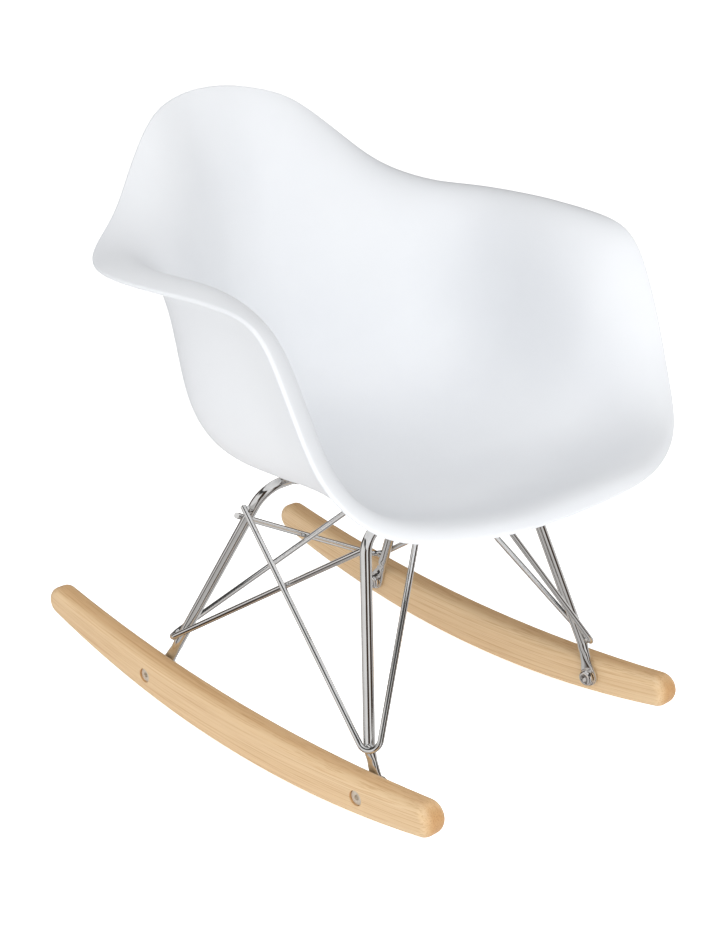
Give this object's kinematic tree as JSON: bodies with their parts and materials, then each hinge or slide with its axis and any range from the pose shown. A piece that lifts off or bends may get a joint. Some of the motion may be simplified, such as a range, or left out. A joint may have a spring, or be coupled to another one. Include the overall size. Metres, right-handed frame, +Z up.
{
  "type": "rocking chair",
  "caption": "Child's rocking armchair: white moulded bucket seat with rolled arms on a braced chromed rod base, bolted to curved wooden rockers.",
  "frame": {"origin": "on the floor, at the middle of the chair's overall box seen from above", "axes": "+Z up; -Y the way the sitter faces, along the rockers; +X to the sitter's left"},
  "size_m": [0.4212, 0.4948, 0.4978],
  "materials": {
    "moulded_shell": "fine satin moulded polypropylene, white",
    "chrome_rod": "bright chrome plating on welded round steel rod",
    "rocker_wood": "pale ash, clear satin lacquer, long straight grain",
    "fixing_chrome": "bright plated screws and washers",
    "nut_steel": "zinc plated, dull",
    "insert_brass": "knurled threaded sleeve"
  },
  "bodies": {
    "root": {"barrel_nut_front_left": "nut_steel", "barrel_nut_front_right": "nut_steel", "barrel_nut_rear_left": "nut_steel", "barrel_nut_rear_right": "nut_steel", "brace_front_left": "chrome_rod", "brace_front_right": "chrome_rod", "brace_rear_left": "chrome_rod", "brace_rear_right": "chrome_rod", "front_hoop": "chrome_rod", "mount_tab_front_left": "chrome_rod", "mount_tab_front_right": "chrome_rod", "mount_tab_rear_left": "chrome_rod", "mount_tab_rear_right": "chrome_rod", "rear_hoop": "chrome_rod", "rocker_bolt_front_left": "fixing_chrome", "rocker_bolt_front_right": "fixing_chrome", "rocker_bolt_rear_left": "fixing_chrome", "rocker_bolt_rear_right": "fixing_chrome", "rocker_left": "rocker_wood", "rocker_right": "rocker_wood", "rocker_washer_front_left": "fixing_chrome", "rocker_washer_front_right": "fixing_chrome", "rocker_washer_rear_left": "fixing_chrome", "rocker_washer_rear_right": "fixing_chrome", "seat_insert_front_left": "insert_brass", "seat_insert_front_right": "insert_brass", "seat_insert_rear_left": "insert_brass", "seat_insert_rear_right": "insert_brass", "seat_screw_front_left": "fixing_chrome", "seat_screw_front_right": "fixing_chrome", "seat_screw_rear_left": "fixing_chrome", "seat_screw_rear_right": "fixing_chrome", "seat_shell": "moulded_shell", "seat_washer_front_left": "fixing_chrome", "seat_washer_front_right": "fixing_chrome", "seat_washer_rear_left": "fixing_chrome", "seat_washer_rear_right": "fixing_chrome"}
  },
  "joints": []
}
